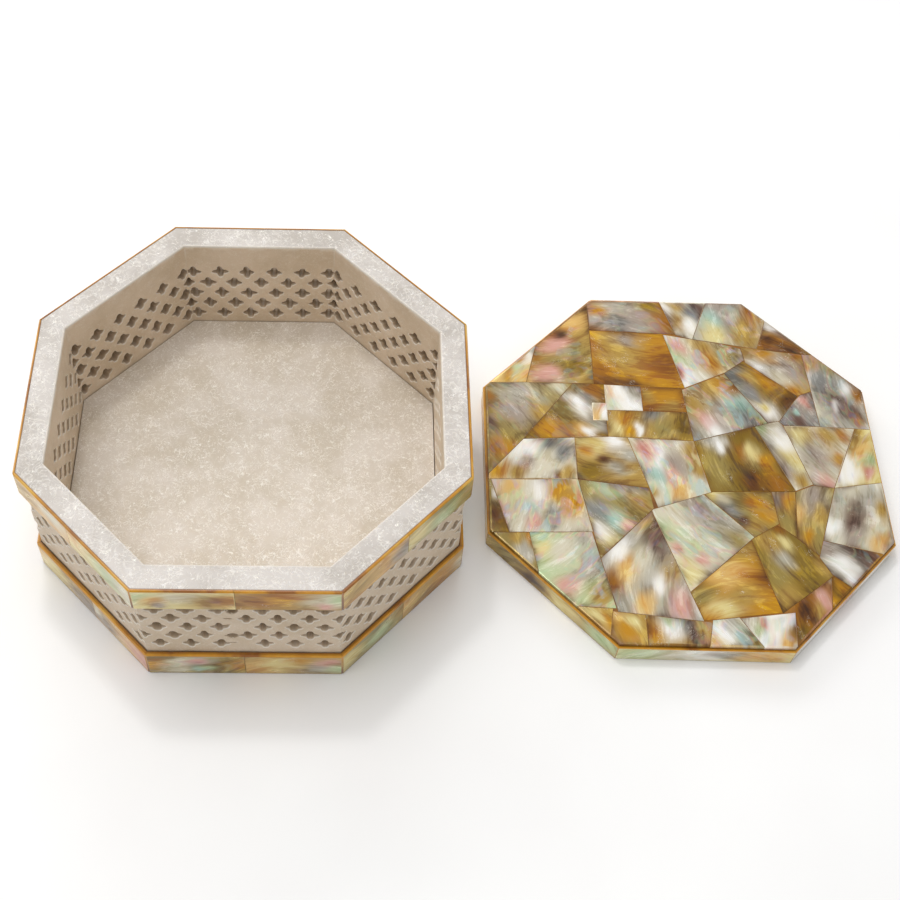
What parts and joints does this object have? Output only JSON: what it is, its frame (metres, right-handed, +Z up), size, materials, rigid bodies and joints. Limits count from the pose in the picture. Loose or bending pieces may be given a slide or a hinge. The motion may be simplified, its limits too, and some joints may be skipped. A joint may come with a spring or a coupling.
{
  "type": "octagonal keepsake box with a loose lid",
  "caption": "Octagonal marble box with pierced lattice walls and mother-of-pearl bands, its loose mosaic-covered lid lying beside it.",
  "frame": {"origin": "centre of the box's underside, on the surface that it stands on", "axes": "+Z up, +X towards the lid that lies beside the box, +Y towards the back"},
  "size_m": [0.3079, 0.1582, 0.061],
  "materials": {
    "marble": "honed cream marble",
    "nacre_strip": "polished gold-lip mother-of-pearl strips",
    "nacre_amber": "polished amber mother-of-pearl",
    "nacre_cream": "polished cream mother-of-pearl",
    "nacre_silver": "polished silver-grey mother-of-pearl"
  },
  "bodies": {
    "root": {"base": "marble", "wall_back": "marble", "wall_back_right": "marble", "wall_right": "marble", "wall_front_right": "marble", "wall_front": "marble", "wall_front_left": "marble", "wall_left": "marble", "wall_back_left": "marble", "top_band": "nacre_strip", "foot_band": "nacre_strip", "lid_core": "marble", "lid_band": "nacre_strip", "shard_01": "nacre_cream", "shard_02": "nacre_amber", "shard_03": "nacre_amber", "shard_04": "nacre_amber", "shard_05": "nacre_silver", "shard_06": "nacre_silver", "shard_07": "nacre_amber", "shard_08": "nacre_cream", "shard_09": "nacre_cream", "shard_10": "nacre_silver", "shard_11": "nacre_amber", "shard_12": "nacre_silver", "shard_13": "nacre_silver", "shard_14": "nacre_silver", "shard_15": "nacre_amber", "shard_16": "nacre_amber", "shard_17": "nacre_cream", "shard_18": "nacre_amber", "shard_19": "nacre_silver", "shard_20": "nacre_amber", "shard_21": "nacre_cream", "shard_22": "nacre_amber", "shard_23": "nacre_silver", "shard_24": "nacre_cream", "shard_25": "nacre_cream", "shard_26": "nacre_cream", "shard_27": "nacre_silver", "shard_28": "nacre_silver", "shard_29": "nacre_cream", "shard_30": "nacre_cream", "shard_31": "nacre_silver", "shard_32": "nacre_cream", "shard_33": "nacre_amber", "shard_34": "nacre_silver", "shard_35": "nacre_cream", "shard_36": "nacre_silver", "shard_37": "nacre_silver", "shard_38": "nacre_amber", "shard_39": "nacre_amber", "shard_40": "nacre_amber", "shard_41": "nacre_amber", "shard_42": "nacre_amber", "shard_43": "nacre_amber", "shard_44": "nacre_silver", "shard_45": "nacre_silver", "shard_46": "nacre_cream"}
  },
  "joints": []
}
